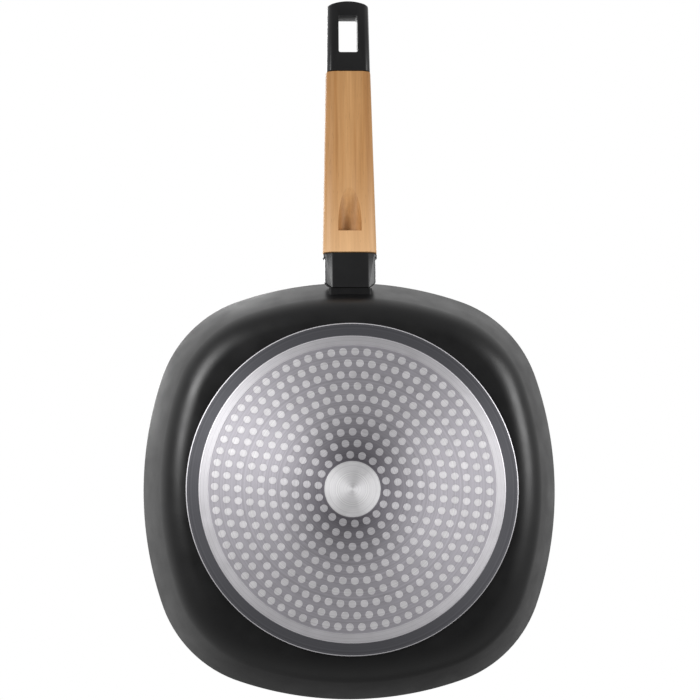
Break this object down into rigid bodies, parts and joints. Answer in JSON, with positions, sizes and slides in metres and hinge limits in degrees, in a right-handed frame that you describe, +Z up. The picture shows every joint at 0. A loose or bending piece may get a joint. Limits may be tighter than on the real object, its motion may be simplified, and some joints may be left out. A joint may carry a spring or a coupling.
{
  "type": "grill pan",
  "caption": "Square cast grill pan with rounded corners, flared walls, cooking ribs, a perforated induction base and a fixed wooden handle with a hanging hole.",
  "frame": {"origin": "centre of the flat underside of the base, on the surface that the pan stands on", "axes": "+Z up, out of the pan's mouth; +Y along the handle in plan, away from the pan; +X to the right when the handle points away"},
  "size_m": [0.2794, 0.4756, 0.0614],
  "materials": {
    "coated_aluminium": "cast aluminium with a black satin coating, bare turned ring and centre on the base",
    "turned_aluminium": "bare aluminium, face turned in fine circles",
    "induction_steel": "perforated steel, face turned in fine circles",
    "black_phenolic": "compression moulded black phenolic, satin",
    "oiled_wood": "straight grained wood, sanded and oiled",
    "zinc_steel": "zinc plated steel",
    "brass": "turned brass"
  },
  "bodies": {
    "root": {"pan_body": "coated_aluminium", "induction_plate": "induction_steel", "ferrule": "black_phenolic", "wooden_grip": "oiled_wood", "end_cap": "black_phenolic", "fixing_screw": "zinc_steel", "fixing_washer": "zinc_steel", "fixing_spring_washer": "zinc_steel", "lug_insert": "zinc_steel", "tie_bolt": "zinc_steel", "tie_bolt_washer": "zinc_steel", "cap_insert": "brass"}
  },
  "joints": []
}
